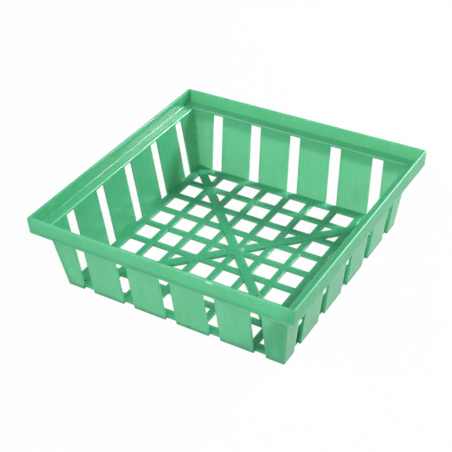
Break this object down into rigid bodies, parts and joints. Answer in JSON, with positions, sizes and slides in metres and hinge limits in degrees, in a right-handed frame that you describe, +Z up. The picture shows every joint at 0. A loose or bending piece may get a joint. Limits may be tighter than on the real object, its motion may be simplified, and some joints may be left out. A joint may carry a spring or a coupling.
{
  "type": "bulb planting basket",
  "caption": "Square moulded planting basket with a raised rim, an inner ledge, tapered slatted walls and an open grid floor with diagonal ribs.",
  "frame": {"origin": "on the ground under the centre of the basket", "axes": "+Z up out of the mouth, X and Y along the sides; the basket is the same on all sides"},
  "size_m": [0.262, 0.262, 0.079],
  "materials": {
    "basket_plastic": "injection moulded green polypropylene, semi-gloss"
  },
  "bodies": {
    "root": {"basket": "basket_plastic"}
  },
  "joints": []
}
